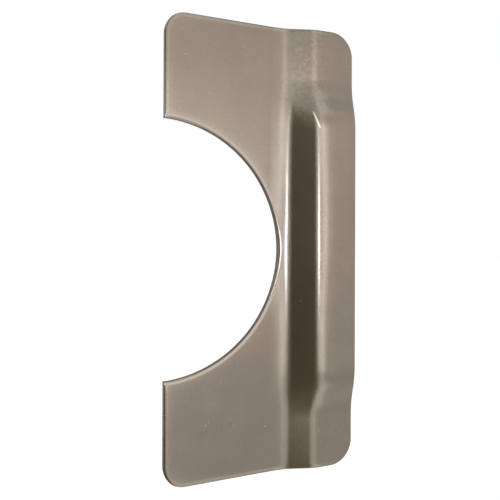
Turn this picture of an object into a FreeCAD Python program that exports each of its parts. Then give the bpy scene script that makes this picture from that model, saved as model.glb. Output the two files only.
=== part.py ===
import FreeCAD, Part
import math
import os
from FreeCAD import Vector

# Latch protector plate: one pressed steel sheet that covers the gap between an
# outward opening door and its frame, with two studs welded to its hidden side.
# Seen from outside, X runs right from the door to the frame, Y runs into the
# door and Z runs up. The origin is midway between the studs, on the face that
# lies against the door.

# Sheet, in millimetres
sheet = 2.66
plate_height = 203.2
plate_width = 90.5
free_corner_radius = 9.5
jamb_corner_radius = 11.1
edge_round = 0.45

# Half-round cut-out that clears the lock's collar, open to the plate's free edge
cutout_radius = 55.9
cutout_centre_outside_edge = 2.1

# Bends between the flanges, pressed with one tool over the whole height
door_flange_width = 49.0
root_corner_past_flange = 6.95
root_corner_from_free_edge = door_flange_width + root_corner_past_flange
root_radius = 20.0
crest_inside_radius = 15.3

# Joggle that brings the jamb flange forward, above and below the raised pad
joggle_rise = 5.2
joggle_angle = 18.6

# Raised pad at mid height that clears the keeper of an electric strike
pad_rise = 3.15
pad_angle = 26.3
pad_length = 121.0
pad_ramp_length = 13.0

# Welded studs, quarter inch, one behind each tab of the door flange
stud_diameter = 6.35
stud_length = 25.4
stud_tip_chamfer = 0.8
stud_from_free_edge = 24.0
stud_from_plate_end = 23.8

free_edge_x = -stud_from_free_edge
jamb_edge_x = free_edge_x + plate_width
strip_x = free_edge_x + door_flange_width
root_corner_x = free_edge_x + root_corner_from_free_edge
half_height = plate_height / 2
stud_z = half_height - stud_from_plate_end
crest_radius = crest_inside_radius + sheet
cutout_x = free_edge_x - cutout_centre_outside_edge
tiny = 1e-6


def point(x, proud, z):
    """A point that stands proud of the door's face, towards the outside."""
    return Vector(x, -proud, z)


def polar(centre_x, centre_proud, radius, angle, z):
    """A point on a bend, at an angle from the direction into the door."""
    x = centre_x + radius * math.sin(angle)
    return point(x, centre_proud - radius * math.cos(angle), z)


def bend(centre_x, centre_proud, radius, start, end, z):
    """One arc of a bend, between two angles."""
    middle = (start + end) / 2
    first = polar(centre_x, centre_proud, radius, start, z)
    halfway = polar(centre_x, centre_proud, radius, middle, z)
    last = polar(centre_x, centre_proud, radius, end, z)
    return Part.Arc(first, halfway, last).toShape()


def line(start, end):
    return Part.LineSegment(start, end).toShape()


def formed_section(z, rise, angle_degrees):
    """Closed horizontal section of the formed strip: root, wall, crest, flange."""
    angle = math.radians(angle_degrees)
    both_radii = root_radius + crest_radius
    wall = (rise - both_radii * (1 - math.cos(angle))) / math.sin(angle)
    root_centre = sheet + root_radius
    root_x = root_corner_x - root_radius * math.tan(angle / 2)
    crest_x = root_x + both_radii * math.sin(angle) + wall * math.cos(angle)
    crest_centre = rise - crest_inside_radius
    crest_start = math.pi + angle

    def face_line(radius_at_root, radius_at_crest, proud):
        """One face of the sheet, from the flat flange to the jamb edge."""
        root_begin = polar(root_x, root_centre, radius_at_root, 0, z)
        root_end = polar(root_x, root_centre, radius_at_root, angle, z)
        crest_begin = polar(crest_x, crest_centre, radius_at_crest, crest_start, z)
        crest_end = point(crest_x, rise + proud, z)
        jamb_edge = point(jamb_edge_x, rise + proud, z)
        return [
            line(point(strip_x, proud, z), root_begin),
            bend(root_x, root_centre, radius_at_root, 0, angle, z),
            line(root_end, crest_begin),
            bend(crest_x, crest_centre, radius_at_crest, crest_start, math.pi, z),
            line(crest_end, jamb_edge),
        ]

    front = face_line(root_radius, crest_radius, sheet)
    back = face_line(root_radius + sheet, crest_inside_radius, 0)
    jamb_side = line(point(jamb_edge_x, rise + sheet, z), point(jamb_edge_x, rise, z))
    door_side = line(point(strip_x, sheet, z), point(strip_x, 0, z))
    edges = front + [jamb_side] + back[::-1] + [door_side]
    return Part.Wire(Part.__sortEdges__(edges))


def joggle_section(z):
    return formed_section(z, joggle_rise, joggle_angle)


def pad_section(z):
    return formed_section(z, joggle_rise + pad_rise, pad_angle)


def straight_run(section, low, high):
    """A stretch of the formed strip with one section from end to end."""
    return Part.Face(section(low)).extrude(Vector(0, 0, high - low))


def pressed_sheet():
    """The formed sheet before its outline is cut, with the pad ramped in and out."""
    pad_half = pad_length / 2
    ramp_end = pad_half + pad_ramp_length
    door_flange = Part.makeBox(
        door_flange_width, sheet, plate_height, Vector(free_edge_x, -sheet, -half_height)
    )
    stretches = [
        straight_run(joggle_section, -half_height, -ramp_end),
        Part.makeLoft([joggle_section(-ramp_end), pad_section(-pad_half)], True, True),
        straight_run(pad_section, -pad_half, pad_half),
        Part.makeLoft([pad_section(pad_half), joggle_section(ramp_end)], True, True),
        straight_run(joggle_section, ramp_end, half_height),
    ]
    return door_flange.multiFuse(stretches).removeSplitter()


def outline_prism():
    """The plate's outline as a prism through the sheet: corners and cut-out."""
    middle_x = (free_edge_x + jamb_edge_x) / 2
    depth = plate_width
    tall = Part.makeBox(
        plate_width, 2 * depth, plate_height, Vector(free_edge_x, -depth, -half_height)
    )
    corners = [edge for edge in tall.Edges if edge.BoundBox.YLength > depth]
    free_corners = [edge for edge in corners if edge.CenterOfMass.x < middle_x]
    rounded = tall.makeFillet(free_corner_radius, free_corners)
    corners = [edge for edge in rounded.Edges if edge.BoundBox.YLength > depth]
    jamb_corners = [edge for edge in corners if edge.BoundBox.XMin > jamb_edge_x - tiny]
    rounded = rounded.makeFillet(jamb_corner_radius, jamb_corners)
    collar = Part.makeCylinder(
        cutout_radius, 2 * depth, Vector(cutout_x, -depth, 0), Vector(0, 1, 0)
    )
    return rounded.cut(collar)


def punched_rim(plate):
    """Front edges of the door flange, where the punch rolled the metal over."""
    rim = []
    for face in plate.Faces:
        box = face.BoundBox
        if abs(box.YMin + sheet) > tiny or abs(box.YMax + sheet) > tiny:
            continue
        for edge in face.Edges:
            if edge.BoundBox.XMin < strip_x - tiny:
                rim.append(edge)
    return rim


def make_plate():
    plate = pressed_sheet().common(outline_prism())
    return plate.makeFillet(edge_round, punched_rim(plate))


def make_stud(z):
    """One welded stud, its full-diameter base on the sheet's hidden face."""
    stud = Part.makeCylinder(
        stud_diameter / 2, stud_length, Vector(0, 0, z), Vector(0, 1, 0)
    )
    tip = [edge for edge in stud.Edges if edge.BoundBox.YMin > stud_length / 2]
    return stud.makeChamfer(stud_tip_chamfer, tip)


def main():
    os.makedirs("parts", exist_ok=True)
    parts = {
        "plate": make_plate(),
        "upper_stud": make_stud(stud_z),
        "lower_stud": make_stud(-stud_z),
    }
    for name, shape in parts.items():
        shape.exportStep("parts/" + name + ".step")
        solids = len(shape.Solids)
        box = shape.optimalBoundingBox()
        print(name, solids, shape.isValid(), round(shape.Volume, 1), box)


main()
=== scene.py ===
"""Latch protector plate: a pressed steel sheet with two weld studs, and a studio to show it in."""

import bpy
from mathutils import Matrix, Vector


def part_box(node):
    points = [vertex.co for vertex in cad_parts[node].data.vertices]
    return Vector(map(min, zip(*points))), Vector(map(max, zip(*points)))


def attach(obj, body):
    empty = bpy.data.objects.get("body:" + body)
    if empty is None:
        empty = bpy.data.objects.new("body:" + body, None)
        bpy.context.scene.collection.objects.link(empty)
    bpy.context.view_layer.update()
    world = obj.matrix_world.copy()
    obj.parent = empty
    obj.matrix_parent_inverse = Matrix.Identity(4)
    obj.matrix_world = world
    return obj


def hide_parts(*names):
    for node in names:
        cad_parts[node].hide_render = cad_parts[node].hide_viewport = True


bl_info = {
    "name": "Latch Protector Plate",
    "version": (1, 0, 0),
    "blender": (4, 5, 0),
    "location": "3D View > Sidebar > Latch Plate",
    "description": "Makes a pressed latch protector plate, its weld studs and a plain studio",
    "category": "Object",
}

import math

import bmesh
import bpy
import numpy as np
from bpy.props import FloatProperty, FloatVectorProperty, IntProperty, PointerProperty
from mathutils import Matrix, Vector
from mathutils.geometry import delaunay_2d_cdt

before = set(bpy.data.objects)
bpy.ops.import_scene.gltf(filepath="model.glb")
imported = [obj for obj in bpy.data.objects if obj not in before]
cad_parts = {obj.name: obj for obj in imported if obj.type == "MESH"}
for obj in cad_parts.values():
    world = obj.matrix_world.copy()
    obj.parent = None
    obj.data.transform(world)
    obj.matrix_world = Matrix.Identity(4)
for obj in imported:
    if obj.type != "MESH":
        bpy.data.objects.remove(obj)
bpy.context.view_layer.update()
PLATE_LOW, PLATE_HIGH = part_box("plate")
MM = 0.001

FRONT, RIM, BACK = 0, 1, 2

# Small marks of handling on the front: X, Z, angle, half length and half width in
# millimetres and degrees, and strength, which is below nothing where the mark is dark.
SCUFFS = (
    (-4.6, -75.8, 40.0, 1.5, 0.35, 0.9),
    (-7.0, -79.6, -15.0, 2.4, 1.6, -0.5),
    (-4.2, -78.4, 50.0, 1.6, 0.8, -0.4),
    (6.2, -77.6, 10.0, 1.6, 1.0, -0.5),
    (1.0, -78.4, 6.0, 5.0, 0.4, -0.3),
    (48.3, -84.0, 100.0, 1.3, 0.35, 0.9),
)
# Where a glint is painted as a bright patch on the corner of the upper ramp, without the strength.
GLINT_PAINTED_CORNER = (45.95, 59.6, -69.0, 4.8, 0.52)

# Colours of the marks on the coat and of the painted glint, in linear light
DUST = (0.62, 0.57, 0.49)
PALE_SCUFF = (0.50, 0.44, 0.37)
GLINT_PAINTED_COLOUR = (0.92, 0.85, 0.70)

# Colours of the studio that the metal mirrors, and the plain light on everything else
WHITE = (1.0, 1.0, 1.0)
DARK_SIDE_TINT = (1.10, 1.04, 0.81)
PANEL_TINT = (0.95, 1.0, 1.09)
STRIP_LAMP = (12.0, 14.5, 19.0)
PLAIN_LIGHT = (0.55, 0.55, 0.55)

# The camera in metres, and its upward shift as a share of the picture's width
CAMERA_PLACE = (-0.091368, -0.240236, 0.007198)
CAMERA_FORWARD = (0.41031, 0.91195, 0.00183)
CAMERA_UP = (-0.00368, -0.00035, 0.99999)
PICTURE_SHIFT = -0.0361


def length(name, description, millimetres, **more):
    """A size that a user may change, given in millimetres and kept in metres."""
    return FloatProperty(
        name=name,
        description=description,
        default=millimetres * MM,
        min=0.0,
        precision=5,
        unit="LENGTH",
        subtype="DISTANCE",
        **more,
    )


def angle(name, description, degrees):
    """An angle that a user may change, given in degrees and kept in radians."""
    return FloatProperty(
        name=name,
        description=description,
        default=math.radians(degrees),
        subtype="ANGLE",
        unit="ROTATION",
    )


def colour(name, description, rgb):
    """A colour that a user may change, in linear light."""
    return FloatVectorProperty(
        name=name, description=description, default=rgb, size=3, min=0.0, max=1.0, subtype="COLOR"
    )


def factor(name, description, default, top=1.0):
    """A share or strength that a user may change."""
    return FloatProperty(name=name, description=description, default=default, min=0.0, max=top)


class PlateSizes(bpy.types.PropertyGroup):
    """Sizes of the pressed plate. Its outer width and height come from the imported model."""

    sheet: length("Sheet", "Thickness of the 12 gauge sheet", 2.66)
    free_corner: length("Free corner radius", "Radius of the two corners on the door", 9.5)
    jamb_corner: length("Jamb corner radius", "Radius of the two corners on the jamb", 11.1)
    cutout_radius: length("Cut-out radius", "Radius of the cut-out for the lock's collar", 55.9)
    cutout_outside: length(
        "Cut-out centre", "How far the cut-out's centre lies outside the free edge", 2.1
    )
    root_corner: length(
        "Root corner", "From the free edge to where the wall would start unrounded", 58.4
    )
    root_radius: length("Root radius", "Front radius of the bend at the foot of the wall", 20.0)
    crest_inside: length("Crest radius", "Back radius of the bend at the top of the wall", 15.3)
    root_lead: length("Root lead-in", "Faintly curved strip before the foot of the wall", 4.7)
    crest_lead: length("Crest lead-out", "Faintly curved strip after the top of the wall", 4.0)
    root_lead_angle: angle("Root lead-in angle", "Slope reached by the root lead-in", 6.0)
    crest_lead_angle: angle("Crest lead-out angle", "Slope where the crest lead-out starts", 2.7)
    joggle_rise: length("Joggle rise", "How far the jamb flange stands forward", 5.2)
    joggle_angle: angle("Joggle angle", "Slope of the wall above and below the pad", 19.0)
    pad_rise: length("Pad rise", "How far the raised pad stands in front of the jamb flange", 3.15)
    pad_angle: angle("Pad angle", "Slope of the wall beside the raised pad", 26.3)
    pad_length: length("Pad length", "Length of the raised pad between its ramps", 121.0)
    pad_ramp: length("Pad ramp", "Length of the ramp at each end of the pad", 13.0)
    crease: length("Crease", "Half length over which each ramp's crease is rounded", 5.0)
    roll_depth: length("Roll depth", "How far the punch drew the front edge down", 0.42)
    roll_width: length("Roll width", "Width of the band that the punch drew down", 2.0)
    sink_depth: length("Sink depth", "Depth of the shallow dip beside the punched edge", 0.10)
    sink_width: length("Sink width", "Width of the shallow dip beside the punched edge", 5.0)
    fracture: length("Fracture", "How far the torn lower part of the cut face lies back", 0.14)
    rim_step: length("Rim step", "Spacing of the mesh along the outline", 0.6)
    bend_step: length("Bend step", "Spacing of the mesh across the bends", 0.5)


class StudSizes(bpy.types.PropertyGroup):
    """Sizes of the quarter inch weld studs, twenty threads to the inch."""

    pitch: length("Pitch", "Distance from one thread to the next", 1.27)
    thread_depth: length("Thread depth", "Depth of the thread", 0.72)
    plain_shank: length("Plain shank", "Length without thread next to the sheet", 2.6)
    tip_chamfer: length("Tip chamfer", "Chamfer at the free end", 0.8)
    bead_width: length("Bead width", "Width of the weld bead at the stud's foot", 1.0)
    bead_height: length("Bead height", "Height of the weld bead at the stud's foot", 0.9)
    segments: IntProperty(
        name="Segments", description="Mesh divisions round the stud", default=48, min=12, max=96
    )


class FinishSettings(bpy.types.PropertyGroup):
    """Colours and textures of the coat and of the studs' plating."""

    coat: colour("Coat", "Colour of the satin coat on the plate", (0.300, 0.250, 0.200))
    zinc: colour("Zinc", "Colour of the studs' zinc plating", (0.62, 0.61, 0.58))
    coat_roughness: factor("Coat roughness", "Roughness of the coat", 0.15)
    peel_height: length("Orange peel height", "Height of the coat's orange peel", 0.009)
    comb_height: length("Rolling mark height", "Height of the sheet's fine rolling marks", 0.0016)


class StageSettings(bpy.types.PropertyGroup):
    """The floor, the light and the camera."""

    floor: colour("Floor", "Colour of the floor", (0.80, 0.80, 0.79))
    floor_drop: length("Floor drop", "Height of the origin above the floor", 165.0)
    overhead_strength: factor("Overhead light", "Strength of the soft light from above", 1.15, 10.0)
    lens: FloatProperty(
        name="Lens", description="Focal length on a 36 mm sensor", default=41.8, unit="CAMERA"
    )


class PressedForm:
    """Where the sheet's two faces lie, as heights in front of the door, from its sizes."""

    bend_samples = 28

    def __init__(self, sizes):
        self.sizes = sizes
        self.low = np.array([PLATE_LOW.x, PLATE_LOW.z])
        self.high = np.array([PLATE_HIGH.x, PLATE_HIGH.z])
        self.arc_centre = np.array([self.low[0] - sizes.cutout_outside, 0.0])
        self.pad_half = sizes.pad_length / 2
        self.ramp_end = self.pad_half + sizes.pad_ramp
        joggle = (sizes.joggle_rise, sizes.joggle_angle)
        pad = (sizes.joggle_rise + sizes.pad_rise, sizes.pad_angle)
        self.lines = {}
        for face in (FRONT, BACK):
            self.lines[face] = (self.section(*joggle, face), self.section(*pad, face))
        self.formed_start = self.lines[FRONT][1][0][0]
        self.formed_end = self.lines[FRONT][1][0][-1]

    def section(self, rise, slope, face):
        """Places, heights and slopes along one face, through the root bend and the crest."""
        s = self.sizes
        mean_root = s.root_radius + s.sheet / 2
        mean_crest = s.crest_inside + s.sheet / 2
        half = s.sheet / 2 if face == FRONT else -s.sheet / 2
        first, last = s.root_lead_angle, s.crest_lead_angle
        lead = np.linspace(0, 1, 9)[:-1]
        up = np.linspace(first, slope, self.bend_samples)
        down = np.linspace(slope, last, self.bend_samples)

        root_x = self.low[0] + s.root_corner - s.root_radius * math.tan(slope / 2)
        start = s.root_lead * math.tan(first) / 2
        root_rise = mean_root * (math.cos(first) - math.cos(slope))
        crest_rise = mean_crest * (math.cos(last) - math.cos(slope))
        end = s.crest_lead * math.tan(last) / 2
        wall = (rise - start - root_rise - crest_rise - end) / math.sin(slope)
        top_x = root_x + mean_root * (math.sin(slope) - math.sin(first)) + wall * math.cos(slope)
        top_height = start + root_rise + wall * math.sin(slope)

        tilt = np.concatenate([lead * first, up, down, last * (1 - lead), [0.0]])
        middle_x = np.concatenate(
            [
                root_x - s.root_lead * (1 - lead),
                root_x + mean_root * (np.sin(up) - math.sin(first)),
                top_x + mean_crest * (math.sin(slope) - np.sin(down)),
                top_x + mean_crest * (math.sin(slope) - math.sin(last)) + s.crest_lead * lead,
                [top_x + mean_crest * (math.sin(slope) - math.sin(last)) + s.crest_lead],
            ]
        )
        middle_height = np.concatenate(
            [
                start * lead**2,
                start + mean_root * (math.cos(first) - np.cos(up)),
                top_height + mean_crest * (np.cos(down) - math.cos(slope)),
                rise - end * (1 - lead) ** 2,
                [rise],
            ]
        )
        x = middle_x - half * np.sin(tilt)
        height = middle_height + s.sheet / 2 + half * np.cos(tilt)
        return x, height, np.tan(tilt)

    def pad_share(self, z):
        """How far a height belongs to the raised pad, from 0 to 1, and its change along Z."""
        ramp = self.sizes.pad_ramp
        soft = self.sizes.crease / ramp
        travel = (self.ramp_end - np.abs(z)) / ramp

        def rounded(t):
            bend = np.clip(t + soft, 0, 2 * soft)
            return bend**2 / (4 * soft) + np.maximum(t - soft, 0), bend / (2 * soft)

        start, start_change = rounded(travel)
        stop, stop_change = rounded(travel - 1)
        return start - stop, (start_change - stop_change) * -np.sign(z) / ramp

    def faces_at(self, points, face):
        """Height of one face at each point, with its slopes along X and Z."""
        joggle, pad = self.lines[face]
        share, share_change = self.pad_share(points[:, 1])
        small = 0.01
        result = np.zeros((len(points), 3))
        for row, (x, k, change) in enumerate(zip(points[:, 0], share, share_change)):
            place = (1 - k) * joggle[0] + k * pad[0]
            height = (1 - k) * joggle[1] + k * pad[1]
            slope = (1 - k) * joggle[2] + k * pad[2]
            result[row, 0] = np.interp(x, place, height)
            result[row, 1] = np.interp(x, place, slope)
            if change:
                place = place + small * (pad[0] - joggle[0])
                height = height + small * (pad[1] - joggle[1])
                result[row, 2] = (np.interp(x, place, height) - result[row, 0]) / small * change
        return result

    def edge_distances(self, points):
        """Distance from each point to the outer outline and to the cut-out, with directions."""
        middle = (self.low + self.high) / 2
        offset = points - middle
        sizes = self.sizes
        radius = np.where(offset[:, 0] < 0, sizes.free_corner, sizes.jamb_corner)
        beyond = np.abs(offset) - (self.high - self.low) / 2 + radius[:, None]
        outside = np.maximum(beyond, 0)
        reach = np.linalg.norm(outside, axis=1)
        outer = radius - reach - np.minimum(beyond.max(axis=1), 0)
        nearest = np.eye(2)[np.argmax(beyond, axis=1)]
        in_corner = (beyond > 0).all(axis=1)
        nearest[in_corner] = outside[in_corner] / reach[in_corner][:, None]
        outer_way = -nearest * np.where(offset < 0, -1.0, 1.0)

        from_centre = points - self.arc_centre
        span = np.linalg.norm(from_centre, axis=1)
        arc = span - self.sizes.cutout_radius
        return (outer, outer_way), (arc, from_centre / span[:, None])

    def drawn_down(self, points):
        """How far the punch drew the front face down at each point, with its slopes."""
        s = self.sizes
        full = s.roll_depth + s.sink_depth
        depths, slopes = [], []
        for distance, way in self.edge_distances(points):
            near = np.clip(1 - distance / s.roll_width, 0, 1)
            side = np.sqrt(np.maximum(1 - near**2, 1e-6))
            far = np.clip(1 - distance / s.sink_width, 0, 1)
            depth = s.roll_depth * (1 - side) + s.sink_depth * far**2
            change = s.roll_depth * near / side / s.roll_width
            change = change + 2 * s.sink_depth * far / s.sink_width
            depths.append(depth)
            slopes.append(-change[:, None] * way)
        depth = depths[0] + depths[1] - depths[0] * depths[1] / full
        slope = slopes[0] * (1 - depths[1] / full)[:, None]
        slope = slope + slopes[1] * (1 - depths[0] / full)[:, None]
        return depth, slope

    def outline(self, inset=0.0):
        """The plate's outline, from the upper tab's corner round the cut-out, moved inward."""
        s = self.sizes
        radius = s.cutout_radius + inset
        step = s.rim_step
        left = self.low[0] + inset
        turn = math.acos((left - self.arc_centre[0]) / radius)
        count = round(2 * s.cutout_radius * turn / step)
        points = [
            self.arc_centre + radius * np.array([math.cos(a), math.sin(a)])
            for a in np.linspace(turn, -turn, count + 1)
        ]
        corners = [
            (-1, -1, s.free_corner, math.pi),
            (1, -1, s.jamb_corner, math.pi * 1.5),
            (1, 1, s.jamb_corner, 0.0),
            (-1, 1, s.free_corner, math.pi * 0.5),
        ]
        for side, end, corner, start in corners:
            tip = np.where(np.array([side, end]) < 0, self.low, self.high)
            centre = tip - corner * np.array([side, end])
            turns = round(corner * math.pi / 2 / step)
            arc = [
                centre + (corner - inset) * np.array([math.cos(a), math.sin(a)])
                for a in np.linspace(start, start + math.pi / 2, turns + 1)
            ]
            points += self.straight(points[-1], arc[0])[1:] + arc[1:]
        points += self.straight(points[-1], points[0])[1:-1]
        return np.array(points)

    def straight(self, start, end):
        """Evenly spaced points from start to end, counted on the outline without an inset."""
        span = np.abs(end - start).max()
        count = max(1, round(span / self.sizes.rim_step))
        return [start + (end - start) * t for t in np.linspace(0, 1, count + 1)]


def grid_lines(form):
    """Places of the mesh's columns and rows, closer at the bends and at the ramps."""
    s = form.sizes
    flat = 5 * s.bend_step
    first_bend = form.formed_start - s.bend_step
    last_bend = form.formed_end + s.bend_step
    columns = np.concatenate(
        [
            even(form.low[0], first_bend, flat),
            even(first_bend, last_bend, s.bend_step),
            even(last_bend, form.high[0], flat),
        ]
    )
    inner, outer = form.pad_half - 2 * s.crease, form.ramp_end + 2 * s.crease
    upper = np.concatenate(
        [
            even(0, inner, 4 * s.bend_step),
            even(inner, outer, s.bend_step),
            even(outer, form.high[1], 4 * s.bend_step),
        ]
    )
    return np.unique(columns.round(7)), np.unique(np.concatenate([-upper, upper]).round(7))


def even(start, end, step):
    """Evenly spaced places from start to end, about a step apart."""
    return np.linspace(start, end, max(1, round((end - start) / step)) + 1)


def face_mesh(form, insets, rim_clearance):
    """Points and triangles of one face: rings along the outline, and a grid within them."""
    rings = [form.outline(inset) for inset in insets]
    points = [rings[0]]
    for inset, ring in zip(insets[1:], rings[1:]):
        (outer, _), (arc, _) = form.edge_distances(ring)
        points.append(ring[np.minimum(outer, arc) > inset - 1e-6])
    columns, rows = grid_lines(form)
    grid = np.array(np.meshgrid(columns, rows)).reshape(2, -1).T
    (outer, _), (arc, _) = form.edge_distances(grid)
    points.append(grid[np.minimum(outer, arc) > insets[-1] + rim_clearance])
    points = np.concatenate(points)

    flat = [Vector(p / MM) for p in points]
    edges = ring_edges(len(rings[0]))
    verts, _, faces, sources, _, _ = delaunay_2d_cdt(flat, edges, [], 0, 1e-5)
    if len(verts) != len(points):
        raise RuntimeError("The face's points moved while they were joined into triangles")
    order = [source[0] for source in sources]
    middle = np.array([points[[order[i] for i in face]].mean(axis=0) for face in faces])
    (outer, _), (arc, _) = form.edge_distances(middle)
    inside = np.minimum(outer, arc) > insets[0] + 1e-7
    return points, [[order[i] for i in f] for f, ok in zip(faces, inside) if ok]


def ring_edges(count):
    """The edges of a closed ring whose points are numbered from 0."""
    return [(i, (i + 1) % count) for i in range(count)]


def unit(vectors):
    """The same directions with a length of 1."""
    return vectors / np.linalg.norm(vectors, axis=1)[:, None]


def build_plate_mesh(form):
    """One closed mesh of the pressed plate, with the true normals of its faces."""
    s = form.sizes
    roll = s.roll_width
    front_insets = [roll * (1 - math.sin(math.radians(a))) for a in (90, 72, 54, 38, 24, 10, 0)]
    front_insets += [roll + (s.sink_width - roll) * t for t in (0.33, 0.8)]
    back_insets = [s.fracture, s.fracture + 0.6 * s.rim_step, s.fracture + 2 * s.rim_step]

    front_points, front_faces = face_mesh(form, front_insets, 0.8 * s.bend_step)
    back_points, back_faces = face_mesh(form, back_insets, 0.8 * s.bend_step)
    rim_count = len(form.outline())

    front = form.faces_at(front_points, FRONT)
    depth, drawn_slope = form.drawn_down(front_points)
    front_y = -(front[:, 0] - depth)
    front_slopes = front[:, 1:] - drawn_slope
    front_normals = unit(
        np.stack([-front_slopes[:, 0], -np.ones(len(front)), -front_slopes[:, 1]], axis=1)
    )
    back = form.faces_at(back_points, BACK)
    back_y = -back[:, 0]
    back_normals = unit(np.stack([back[:, 1], np.ones(len(back)), back[:, 2]], axis=1))

    front_xyz = np.stack([front_points[:, 0], front_y, front_points[:, 1]], axis=1)
    back_xyz = np.stack([back_points[:, 0], back_y, back_points[:, 1]], axis=1)

    ring = form.outline()
    (outer, outer_way), (arc, arc_way) = form.edge_distances(ring)
    inward = np.where((outer < arc)[:, None], outer_way, arc_way)
    tab_corner = np.abs(outer - arc) < 1e-6
    inward[tab_corner] = unit(outer_way[tab_corner] + arc_way[tab_corner])
    rim_normals = np.stack([-inward[:, 0], np.zeros(rim_count), -inward[:, 1]], axis=1)
    front_normals[:rim_count] = rim_normals

    # Rows down the cut face: how deep, and how far back towards the torn part, as shares
    levels = [(0.22, 0.0), (0.45, 0.0), (0.55, 0.45), (0.78, 0.85)]
    rows = []
    for share, set_back in levels:
        row = front_xyz[:rim_count] * (1 - share) + back_xyz[:rim_count] * share
        place = ring + (back_points[:rim_count] - ring) * set_back
        row[:, 0], row[:, 2] = place[:, 0], place[:, 1]
        rows.append(row)

    back_start = len(front_xyz)
    rows_start = back_start + len(back_xyz)
    xyz = np.concatenate([front_xyz, back_xyz] + rows)
    strip_rows = [np.arange(rim_count)]
    strip_rows += [rows_start + i * rim_count + np.arange(rim_count) for i in range(len(rows))]
    strip_rows.append(back_start + np.arange(rim_count))
    strips = []
    for upper, lower in zip(strip_rows, strip_rows[1:]):
        for i in range(rim_count):
            j = (i + 1) % rim_count
            strips.append((int(upper[i]), int(upper[j]), int(lower[j]), int(lower[i])))

    back_faces = [[i + back_start for i in face] for face in back_faces]
    sides = [FRONT] * len(front_faces) + [BACK] * len(back_faces) + [RIM] * len(strips)
    faces = front_faces + back_faces + strips
    normals = {
        FRONT: front_normals,
        BACK: back_normals,
        RIM: rim_normals,
    }
    return xyz, faces, sides, normals, (rim_count, back_start, rows_start)


def make_plate_object(sizes, materials):
    """The plate as an object, its triangles joined into quads where they are even."""
    form = PressedForm(sizes)
    xyz, faces, sides, normals, (rim_count, back_start, rows_start) = build_plate_mesh(form)
    mesh = bpy.data.meshes.new("pressed_plate")
    mesh.from_pydata(xyz.tolist(), [], faces)
    for side, material in zip((FRONT, RIM, BACK), materials):
        mesh.materials.append(material)
    mesh.polygons.foreach_set("material_index", sides)
    mesh.polygons.foreach_set("use_smooth", [True] * len(faces))

    work = bmesh.new()
    work.from_mesh(mesh)
    bmesh.ops.join_triangles(
        work,
        faces=[f for f in work.faces if len(f.verts) == 3],
        angle_face_threshold=math.radians(6),
        angle_shape_threshold=math.radians(25),
        cmp_materials=True,
    )
    bmesh.ops.recalc_face_normals(work, faces=work.faces)
    work.to_mesh(mesh)
    work.free()

    loop_normals = []
    for polygon in mesh.polygons:
        side = polygon.material_index
        for vertex in polygon.vertices:
            if side == FRONT:
                normal = normals[FRONT][vertex]
            elif side == BACK:
                normal = normals[BACK][vertex - back_start]
            elif vertex < rim_count:
                normal = normals[RIM][vertex]
            else:
                start = rows_start if vertex >= rows_start else back_start
                normal = normals[RIM][(vertex - start) % rim_count]
            loop_normals.append(normal)
    mesh.normals_split_custom_set(loop_normals)
    mesh.update()
    plate = bpy.data.objects.new("pressed_plate", mesh)
    bpy.context.scene.collection.objects.link(plate)
    return plate


def thread_radius(sizes, radius, total, y, turn):
    """Radius of the stud at a distance from the sheet, for each angle round it."""
    crest_half, flank_run = 0.07, 0.33
    phase = (y / sizes.pitch - turn / (2 * math.pi)) % 1.0
    flank = np.clip((np.abs(phase - 0.5) - crest_half) / flank_run, 0, 1)
    run_in = min(1.0, max(0.0, (y - sizes.plain_shank) / sizes.pitch))
    threaded = radius - sizes.thread_depth * flank * run_in
    tip = radius - max(0.0, y - (total - sizes.tip_chamfer))
    rest = max(0.0, 1 - y / sizes.bead_height)
    ripple = 1 + 0.10 * np.sin(3 * turn + 0.7) + 0.06 * np.sin(7 * turn)
    bead = radius + sizes.bead_width * ripple * rest**1.6
    if rest > 0:
        return np.maximum(threaded, bead)
    return np.minimum(threaded, max(tip, 0.0))


def make_stud_object(name, node, sizes, material):
    """One threaded weld stud, with its bead on the sheet's hidden face."""
    low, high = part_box(node)
    centre = (low + high) / 2
    radius = (high.x - low.x) / 2
    total = high.y - low.y
    turn = np.linspace(0, 2 * math.pi, sizes.segments, endpoint=False)
    bead_rows = np.linspace(0, sizes.bead_height, 7)
    shank_rows = np.arange(sizes.bead_height + 0.2 * MM, total, sizes.pitch / 14)
    rows = np.concatenate([bead_rows, shank_rows, [total]])
    points, faces = [], []
    for y in rows:
        around = thread_radius(sizes, radius, total, y, turn)
        for r, a in zip(around, turn):
            points.append((centre.x + r * math.cos(a), low.y + y, centre.z + r * math.sin(a)))
    count = sizes.segments
    for row in range(len(rows) - 1):
        for i in range(count):
            j = (i + 1) % count
            a, b = row * count, (row + 1) * count
            faces.append((a + i, a + j, b + j, b + i))
    for row, y in ((0, 0.0), (len(rows) - 1, total)):
        points.append((centre.x, low.y + y, centre.z))
        hub = len(points) - 1
        for i in range(count):
            faces.append((row * count + i, row * count + (i + 1) % count, hub))
    mesh = bpy.data.meshes.new(name)
    mesh.from_pydata(points, [], faces)
    work = bmesh.new()
    work.from_mesh(mesh)
    bmesh.ops.recalc_face_normals(work, faces=work.faces)
    for face in work.faces:
        face.smooth = len(face.verts) == 4
    work.to_mesh(mesh)
    work.free()
    mesh.materials.append(material)
    stud = bpy.data.objects.new(name, mesh)
    bpy.context.scene.collection.objects.link(stud)
    return stud


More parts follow.
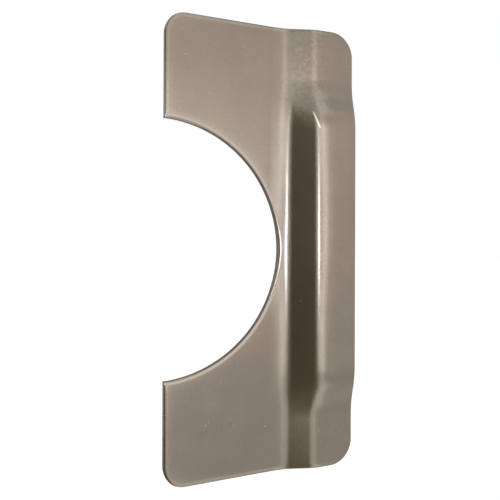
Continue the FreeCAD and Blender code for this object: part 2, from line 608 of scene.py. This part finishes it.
class Shader:
    """Adds nodes to a material's or a world's tree, and joins them."""

    def __init__(self, owner):
        owner.use_nodes = True
        self.tree = owner.node_tree
        self.tree.nodes.clear()

    def node(self, kind, inputs=None, **settings):
        """A new node with its settings, and a value or a link for each input named."""
        node = self.tree.nodes.new(kind)
        for name, value in settings.items():
            setattr(node, name, value)
        for name, value in (inputs or {}).items():
            self.set(node.inputs[name], value)
        return node

    def set(self, socket, value):
        """Link a socket to another node's output, or give it a value."""
        if isinstance(value, bpy.types.NodeSocket):
            self.tree.links.new(value, socket)
        else:
            socket.default_value = value

    def math(self, operation, first, second=None, third=None, clamp=False):
        inputs = {0: first}
        if second is not None:
            inputs[1] = second
        if third is not None:
            inputs[2] = third
        node = self.node("ShaderNodeMath", inputs, operation=operation, use_clamp=clamp)
        return node.outputs[0]

    def broken_line(self, value, base, *stretches):
        """A number that starts at base and changes over each stretch: start, end and change."""
        total = base
        for start, end, change in stretches:
            total = self.math("ADD", self.rise(value, start, end, 0.0, change), total)
        return total

    def rise(self, value, start, end, low=0.0, high=1.0):
        """A smooth step from low to high as value goes from start to end."""
        node = self.node(
            "ShaderNodeMapRange",
            {0: value, 1: start, 2: end, 3: low, 4: high},
            interpolation_type="SMOOTHSTEP",
        )
        return node.outputs[0]

    def mix(self, share, first, second, blend="MIX"):
        """A mix of two colours."""
        node = self.node("ShaderNodeMix", data_type="RGBA", blend_type=blend)
        self.set(node.inputs[0], share)
        for socket, value in ((node.inputs[6], first), (node.inputs[7], second)):
            if isinstance(value, (int, float)):
                value = (value, value, value, 1.0)
            elif isinstance(value, (tuple, list)) and len(value) == 3:
                value = (*value, 1.0)
            self.set(socket, value)
        return node.outputs[2]

    def noise(self, vector, scale, detail=2.0, roughness=0.5):
        """Cloudy noise from 0 to 1, its scale in waves to the metre."""
        node = self.node(
            "ShaderNodeTexNoise",
            {"Vector": vector, "Scale": scale, "Detail": detail, "Roughness": roughness},
        )
        return node.outputs[0]

    def moved(self, vector, offset):
        """The same place moved by an offset, in metres."""
        node = self.node("ShaderNodeMapping", {"Vector": vector, "Location": offset})
        return node.outputs[0]

    def specks(self, vector, spacing, radius):
        """Small round spots, one to a cell, with each cell's own random number."""
        node = self.node(
            "ShaderNodeTexVoronoi", {"Vector": vector, "Scale": 1 / spacing, "Randomness": 1.0}
        )
        spot = self.rise(node.outputs["Distance"], radius / spacing, 0.5 * radius / spacing)
        kind = self.node("ShaderNodeSeparateColor", {0: node.outputs["Color"]}).outputs[0]
        return spot, kind

    def scuff(self, vector, centre, turn, half_length, half_width):
        """A short straight mark on the front, by its centre and its angle from X."""
        x, _, z = self.node("ShaderNodeSeparateXYZ", {0: vector}).outputs
        x = self.math("SUBTRACT", x, centre[0])
        z = self.math("SUBTRACT", z, centre[1])
        cosine, sine = math.cos(math.radians(turn)), math.sin(math.radians(turn))
        along = self.math("MULTIPLY_ADD", x, cosine, self.math("MULTIPLY", z, sine))
        across = self.math("MULTIPLY_ADD", z, cosine, self.math("MULTIPLY", x, -sine))
        near = self.rise(self.math("ABSOLUTE", along), half_length, half_length * 0.5)
        thin = self.rise(self.math("ABSOLUTE", across), half_width, half_width * 0.3)
        return self.math("MULTIPLY", near, thin)

    def stretched(self, vector, scale):
        """The same place with its own scale along each axis."""
        node = self.node("ShaderNodeMapping", {"Vector": vector, "Scale": scale})
        return node.outputs[0]

    def bump(self, height, distance, normal=None):
        """The surface's normal with a relief on it, over an earlier one if given."""
        inputs = {"Height": height, "Distance": distance, "Strength": 1.0}
        if normal is not None:
            inputs["Normal"] = normal
        return self.node("ShaderNodeBump", inputs).outputs[0]

    def surface(self, base, metallic, roughness, normal):
        """The material's surface, with one shader for all of it."""
        shader = self.node(
            "ShaderNodeBsdfPrincipled",
            {"Base Color": base, "Metallic": metallic, "Roughness": roughness, "Normal": normal},
        )
        self.node("ShaderNodeOutputMaterial", {"Surface": shader.outputs[0]})


def strained_wall(s, x, z):
    """Where the press strained the coat most: the wall above the pad, from 0 to 1."""
    wall = s.math("MULTIPLY", s.rise(x, 33 * MM, 38 * MM), s.rise(x, 56 * MM, 48 * MM))
    return s.math("MULTIPLY", wall, s.rise(z, 56 * MM, 66 * MM))


def drawn_root(s, x, z):
    """Where the pad's ends drew the metal beside the root bend, from 0 to 1."""
    pull = s.math("MULTIPLY", s.rise(x, 20 * MM, 30 * MM), s.rise(x, 38 * MM, 33 * MM))
    return s.math("MULTIPLY", pull, s.rise(s.math("ABSOLUTE", z), 44 * MM, 56 * MM))


def coat_relief(s, place, finish, fine, strain, pull):
    """Orange peel, lines where the metal was drawn, and the rolling marks beneath."""
    peel = s.noise(place, 1 / (2.4 * MM), 1.0, 0.4)
    peel = s.math("MULTIPLY", peel, s.math("MULTIPLY_ADD", strain, 2.5, 1.0))
    drawn = s.noise(s.stretched(place, (90.0, 90.0, 520.0)), 1.0, 2.0, 0.6)
    comb = s.noise(s.stretched(place, (260.0, 260.0, 1500.0)), 1.0, 2.0, 0.6)
    normal = s.bump(peel, finish.peel_height)
    normal = s.bump(s.math("MULTIPLY", drawn, pull), finish.peel_height * 0.6, normal)
    normal = s.bump(comb, finish.comb_height, normal)
    return s.bump(fine, finish.comb_height * 0.5, normal)


def coat_marks(s, place, fine, outside):
    """Scuffs, grime and a painted highlight on the upper ramp's corner, on the outside face, each
    from 0 to 1.
    """

    def mark(across, up, turn, half_length, half_width):
        centre = (across * MM, up * MM)
        return s.scuff(place, centre, turn, half_length * MM, half_width * MM)

    marks = 0.0
    for *where, strength in SCUFFS:
        marks = s.math("MULTIPLY_ADD", mark(*where), strength, marks)
    marks = s.math("MULTIPLY", marks, outside)
    pale = s.math("MULTIPLY", s.math("MAXIMUM", marks, 0.0), s.rise(fine, 0.42, 0.58))
    grime = s.math("MAXIMUM", s.math("MULTIPLY", marks, -1.0), 0.0)
    grime = s.math("MULTIPLY", grime, s.rise(fine, 0.60, 0.40))
    return pale, grime, s.math("MULTIPLY", mark(*GLINT_PAINTED_CORNER), outside)


def coat_material(finish):
    """Satin metallic coat: orange peel, rougher where the sheet was drawn, and a little dust."""
    material = bpy.data.materials.new("satin_coat")
    s = Shader(material)
    coordinates = s.node("ShaderNodeTexCoord").outputs
    place = coordinates["Object"]
    into_door = s.node("ShaderNodeSeparateXYZ", {0: coordinates["Normal"]}).outputs["Y"]
    outside = s.math("LESS_THAN", into_door, 0.0)
    x, _, z = s.node("ShaderNodeSeparateXYZ", {0: place}).outputs
    fine = s.noise(place, 1 / (0.7 * MM), 2.0, 0.6)
    strain = strained_wall(s, x, z)
    normal = coat_relief(s, place, finish, fine, strain, drawn_root(s, x, z))

    cloud = s.noise(place, 1 / (16 * MM), 2.0, 0.5)
    tone = s.rise(cloud, 0.3, 0.7, 0.97, 1.03)
    tone = s.math("MULTIPLY", tone, s.rise(fine, 0.3, 0.7, 0.96, 1.04))
    crackle = s.rise(s.noise(place, 1 / (1.5 * MM), 1.0, 0.5), 0.35, 0.65, -0.05, 0.05)
    tone = s.math("MULTIPLY_ADD", s.math("MULTIPLY", crackle, strain), tone, tone)
    base = s.mix(1.0, tuple(finish.coat), tone, "MULTIPLY")

    pits, _ = s.specks(place, 4.0 * MM, 0.22 * MM)
    pit_colour = tuple(min(1.0, c * 2.0) for c in finish.coat)
    base = s.mix(s.math("MULTIPLY", pits, 0.5), base, pit_colour)
    dust, dust_kind = s.specks(s.moved(place, (0.031, 0.017, 0.043)), 5.5 * MM, 0.30 * MM)
    dust = s.math("MULTIPLY", dust, s.math("GREATER_THAN", dust_kind, 0.78))
    base = s.mix(dust, base, DUST)

    pale, grime, painted_glint = coat_marks(s, place, fine, outside)
    base = s.mix(pale, base, PALE_SCUFF)
    base = s.mix(grime, base, tuple(c * 0.55 for c in finish.coat))
    # Painted highlight: a bright glint painted into the coat's colour on the corner of the upper
    # ramp.
    base = s.mix(painted_glint, base, GLINT_PAINTED_COLOUR)

    bare = s.math("SUBTRACT", 1.0, s.math("MULTIPLY", dust, 0.8))
    rough = s.math("MULTIPLY_ADD", s.math("ADD", pale, grime), 0.22, finish.coat_roughness)
    rough = s.math("MULTIPLY_ADD", dust, 0.5, rough)
    s.surface(base, bare, rough, normal)
    return material


def cut_face_shaded_material(finish):
    """Cut face of the sheet: darker, partly as rough sheared steel and partly as painted shade for
    the side that faces away from the light, coated over the marks that the punch left.
    """
    material = bpy.data.materials.new("cut_face_and_painted_shade")
    s = Shader(material)
    place = s.node("ShaderNodeTexCoord").outputs["Object"]
    drag = s.noise(s.stretched(place, (1400.0, 120.0, 1400.0)), 1.0, 2.0, 0.6)
    torn = s.noise(place, 1 / (0.5 * MM), 3.0, 0.6)
    normal = s.bump(drag, 0.004 * MM)
    normal = s.bump(torn, 0.003 * MM, normal)
    # Painted shade: the cut face is kept dark, partly from its own rough sheared steel and partly
    # from shade painted in for faces turned from the light.
    tone = s.rise(drag, 0.3, 0.7, 0.20, 0.32)
    base = s.mix(1.0, tuple(finish.coat), tone, "MULTIPLY")
    s.surface(base, 1.0, 0.38, normal)
    return material


def zinc_material(finish):
    """Semi-bright zinc plating with a faint spangle."""
    material = bpy.data.materials.new("zinc_plating")
    s = Shader(material)
    place = s.node("ShaderNodeTexCoord").outputs["Object"]
    spangle = s.noise(place, 1 / (1.6 * MM), 3.0, 0.6)
    grain = s.noise(place, 1 / (0.3 * MM), 2.0, 0.6)
    tone = s.rise(spangle, 0.3, 0.7, 0.86, 1.06)
    base = s.mix(1.0, tuple(finish.zinc), tone, "MULTIPLY")
    rough = s.rise(spangle, 0.3, 0.7, 0.26, 0.40)
    normal = s.bump(grain, 0.0015 * MM)
    s.surface(base, 1.0, rough, normal)
    return material


def room_level(s, azimuth, elevation):
    """How bright the pale room is in each direction, dimmer low down and at the top."""
    level = s.rise(elevation, -24, 12, 0.76, 0.95)
    level = s.math("MULTIPLY", level, s.rise(elevation, 12, 22, 1.0, 0.94))
    level = s.math("MULTIPLY", level, s.rise(elevation, 26, 40, 1.0, 0.81))
    low_down = s.broken_line(elevation, 1.0, (-17, -22, -0.045), (-26, -34, 0.085))
    level = s.math("MULTIPLY", level, low_down)
    side = s.math("MULTIPLY", s.rise(azimuth, 35, 21), s.rise(elevation, -17, -2))
    side = s.math("MULTIPLY", side, s.rise(elevation, 22, 8.5))
    return s.math("MULTIPLY_ADD", s.math("MULTIPLY", side, 0.36), level, level)


def bright_panel(s, azimuth, elevation):
    """The light that a soft bowed panel right of the camera adds in each direction."""
    bow = s.math("POWER", s.math("MULTIPLY", s.math("ADD", elevation, -1.0), 0.1), 2.0)
    least = s.broken_line(
        elevation,
        3.0,
        (-11.5, -15.5, 5.0),
        (-24, -32, 10.5),
        (4, 8, 3.5),
        (10, 12, -3.0),
        (12, 15, 3.0),
        (22, 30, 9.0),
    )
    centre = s.math("MAXIMUM", s.math("MULTIPLY_ADD", bow, -16.5, 14.0), least)
    aside = s.math("ABSOLUTE", s.math("SUBTRACT", azimuth, centre))
    reach = s.broken_line(
        elevation,
        15.0,
        (-22, -30, 2.0),
        (-5, -8, 2.0),
        (-14, -17, -1.0),
        (1, 4, 3.5),
        (5, 11, 2.0),
        (9, 12, -2.5),
        (12.5, 16, -6.5),
        (17, 22, 12.0),
    )
    flat_top = s.rise(s.math("ABSOLUTE", elevation), 22, 28, 1.03, 2.2)
    near = s.math("SUBTRACT", 1.0, s.math("DIVIDE", aside, reach))
    near = s.math("MULTIPLY", near, flat_top, clamp=True)
    strength = s.broken_line(
        elevation,
        1.0,
        (-10, -18.5, -0.70),
        (-22, -31, 0.10),
        (-9, -6, -0.14),
        (6, 11, 0.14),
        (11.5, 16.5, -0.67),
        (22, 30, 0.15),
    )
    panel = s.math("MULTIPLY", near, strength)
    trim = s.broken_line(
        elevation, 0.0, (8, 11, -0.8), (20, 25, 0.8), (-12, -15, -0.8), (-23, -28, 0.8)
    )
    trim = s.math("MULTIPLY", trim, s.rise(azimuth, 11, 18))
    return s.math("MULTIPLY_ADD", panel, trim, panel)


def dark_side(s, azimuth, elevation):
    """The unlit part left of the camera, from 0 to 1, and the share of light lost in it."""
    lean = s.broken_line(
        elevation, 0.0, (0, -13, -4.55), (-15, -20, -4.0), (-21, -29, -6.5), (8, 14, 5.0)
    )
    spread = s.broken_line(elevation, 6.5, (-13, -18, -2.5), (-22, -30, 6.0), (12, 15, -2.2))
    past = s.math("DIVIDE", s.math("ADD", s.math("ADD", azimuth, lean), 14.5), spread)
    dark = s.math("MULTIPLY", s.rise(azimuth, -70, -50), s.rise(past, 1.0, -1.0))
    dark = s.math("MULTIPLY", dark, s.rise(elevation, 33, 16))
    shallow = s.math(
        "MULTIPLY", s.rise(azimuth, -25, -11, 0.0, 0.16), s.rise(elevation, -4, -12)
    )
    depth = s.math("ADD", shallow, s.rise(elevation, -10, -16, -0.865, -0.82))
    return dark, s.math("MULTIPLY", dark, depth)


def strip_lamp(s, azimuth, elevation):
    """A narrow upright lamp at the dark part's border, from 0 to 1, leaning with height."""
    bent = s.broken_line(elevation, 0.0, (5, 12, 3.2), (12, 24, 4.5))
    slant = s.math("ADD", s.math("MULTIPLY_ADD", elevation, 0.15, azimuth), bent)
    line = s.math("MULTIPLY", s.rise(slant, -8.4, -7.2), s.rise(slant, -5.2, -6.4))
    fade = s.math("MAXIMUM", s.rise(elevation, 12, -1), s.rise(elevation, 18, 12, 0.0, 0.13))
    return s.math("MULTIPLY", line, s.math("MULTIPLY", fade, s.rise(elevation, -8, -2)))


def studio_world():
    """White to the camera, plain to diffuse light, and a room for the metal to mirror."""
    world = bpy.data.worlds.new("studio")
    bpy.context.scene.world = world
    s = Shader(world)
    way = s.node("ShaderNodeTexCoord").outputs["Generated"]
    right, inward, up = s.node("ShaderNodeSeparateXYZ", {0: way}).outputs
    outward = s.math("MULTIPLY", inward, -1.0)
    azimuth = s.math("DEGREES", s.math("ARCTAN2", right, outward))
    elevation = s.math("DEGREES", s.math("ARCSINE", up))

    panel = bright_panel(s, azimuth, elevation)
    level = s.math("ADD", panel, room_level(s, azimuth, elevation))
    dark, lost = dark_side(s, azimuth, elevation)
    light = s.math("MULTIPLY_ADD", lost, level, level)
    shade = s.math("MULTIPLY", s.rise(azimuth, 3, -7), s.rise(elevation, 15, 19))
    light = s.math("MULTIPLY_ADD", s.math("MULTIPLY", shade, -0.10), light, light)
    room = s.mix(1.0, s.mix(dark, WHITE, DARK_SIDE_TINT), light, "MULTIPLY")
    room = s.mix(1.0, room, s.mix(panel, WHITE, PANEL_TINT), "MULTIPLY")
    lamp = s.mix(1.0, STRIP_LAMP, strip_lamp(s, azimuth, elevation), "MULTIPLY")
    mirrored = s.mix(1.0, room, lamp, "ADD")

    path = s.node("ShaderNodeLightPath").outputs
    plain = s.mix(path["Is Glossy Ray"], PLAIN_LIGHT, mirrored)
    seen = s.mix(path["Is Camera Ray"], plain, WHITE)
    background = s.node("ShaderNodeBackground", {"Color": seen, "Strength": 1.0})
    s.node("ShaderNodeOutputWorld", {"Surface": background.outputs[0]})


def floor_material(stage):
    """Pale paper floor. It reads white to the camera and keeps the object's shadow."""
    material = bpy.data.materials.new("paper_floor")
    s = Shader(material)
    diffuse = s.node(
        "ShaderNodeBsdfPrincipled",
        {"Base Color": (*stage.floor, 1.0), "Roughness": 0.9, "Specular IOR Level": 0.1},
    )
    camera = s.node("ShaderNodeLightPath").outputs["Is Camera Ray"]
    glow = s.node(
        "ShaderNodeEmission",
        {"Color": (1.0, 1.0, 1.0, 1.0), "Strength": s.math("MULTIPLY", camera, 0.32)},
    )
    both = s.node("ShaderNodeAddShader", {0: diffuse.outputs[0], 1: glow.outputs[0]})
    s.node("ShaderNodeOutputMaterial", {"Surface": both.outputs[0]})
    return material


def add_floor(stage):
    """A wide floor below the plate, left out of what the metal mirrors."""
    half, drop = 3.0, -stage.floor_drop
    corners = [(-half, -half, drop), (half, -half, drop), (half, half, drop), (-half, half, drop)]
    mesh = bpy.data.meshes.new("floor")
    mesh.from_pydata(corners, [], [(0, 1, 2, 3)])
    mesh.materials.append(floor_material(stage))
    floor = bpy.data.objects.new("floor", mesh)
    bpy.context.scene.collection.objects.link(floor)
    floor.visible_glossy = False


def add_overhead_light(stage):
    """A broad, soft light from above, even over the whole floor."""
    data = bpy.data.lights.new("overhead_light", "SUN")
    data.angle = math.radians(24)
    data.energy = stage.overhead_strength
    lamp = bpy.data.objects.new("overhead_light", data)
    bpy.context.scene.collection.objects.link(lamp)
    from_plate = Vector((-0.10, -0.14, 1.5))
    lamp.location = from_plate
    lamp.rotation_euler = (-from_plate).to_track_quat("-Z", "Y").to_euler()
    lamp.visible_glossy = False


def add_camera(stage):
    """The camera in front of the plate's door side, with the photograph's framing."""
    data = bpy.data.cameras.new("camera")
    data.lens = stage.lens
    data.sensor_width = 36.0
    data.shift_y = PICTURE_SHIFT
    data.clip_start = 0.01
    camera = bpy.data.objects.new("camera", data)
    bpy.context.scene.collection.objects.link(camera)
    forward = Vector(CAMERA_FORWARD).normalized()
    right = forward.cross(Vector(CAMERA_UP)).normalized()
    turn = Matrix((right, right.cross(forward), -forward)).transposed().to_4x4()
    camera.matrix_world = Matrix.Translation(CAMERA_PLACE) @ turn
    bpy.context.scene.camera = camera


class LATCHPLATE_OT_plate(bpy.types.Operator):
    """Make the pressed plate with its punched rim and satin coat"""

    bl_idname = "latchplate.plate"
    bl_label = "Pressed plate"

    def execute(self, context):
        scene = context.scene
        coat = coat_material(scene.latchplate_finish)
        sheared = cut_face_shaded_material(scene.latchplate_finish)
        plate = make_plate_object(scene.latchplate_plate, (coat, sheared, coat))
        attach(plate, "root")
        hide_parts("plate")
        return {"FINISHED"}


class LATCHPLATE_OT_studs(bpy.types.Operator):
    """Make the two threaded weld studs behind the plate"""

    bl_idname = "latchplate.studs"
    bl_label = "Weld studs"

    def execute(self, context):
        scene = context.scene
        zinc = zinc_material(scene.latchplate_finish)
        for node in ("upper_stud", "lower_stud"):
            stud = make_stud_object("threaded_" + node, node, scene.latchplate_studs, zinc)
            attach(stud, "root")
            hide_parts(node)
        return {"FINISHED"}


class LATCHPLATE_OT_stage(bpy.types.Operator):
    """Set up the floor, the soft light and the camera"""

    bl_idname = "latchplate.stage"
    bl_label = "Studio"

    def execute(self, context):
        scene = context.scene
        stage = scene.latchplate_stage
        scene.view_settings.view_transform = "Standard"
        studio_world()
        add_floor(stage)
        add_overhead_light(stage)
        add_camera(stage)
        return {"FINISHED"}


class LATCHPLATE_PT_panel(bpy.types.Panel):
    """Buttons that make the plate and its studio"""

    bl_idname = "LATCHPLATE_PT_panel"
    bl_label = "Latch protector plate"
    bl_space_type = "VIEW_3D"
    bl_region_type = "UI"
    bl_category = "Latch Plate"

    def draw(self, context):
        for operator in OPERATORS:
            self.layout.operator(operator.bl_idname)


SETTINGS = {
    "latchplate_plate": PlateSizes,
    "latchplate_studs": StudSizes,
    "latchplate_finish": FinishSettings,
    "latchplate_stage": StageSettings,
}
OPERATORS = (LATCHPLATE_OT_plate, LATCHPLATE_OT_studs, LATCHPLATE_OT_stage)


def register():
    for cls in (*SETTINGS.values(), *OPERATORS, LATCHPLATE_PT_panel):
        bpy.utils.register_class(cls)
    for name, group in SETTINGS.items():
        setattr(bpy.types.Scene, name, PointerProperty(type=group))


def unregister():
    for name in SETTINGS:
        delattr(bpy.types.Scene, name)
    for cls in (LATCHPLATE_PT_panel, *reversed(OPERATORS), *reversed(SETTINGS.values())):
        bpy.utils.unregister_class(cls)


def main():
    register()
    bpy.ops.latchplate.plate()
    bpy.ops.latchplate.studs()
    bpy.ops.latchplate.stage()


if __name__ == "__main__":
    main()
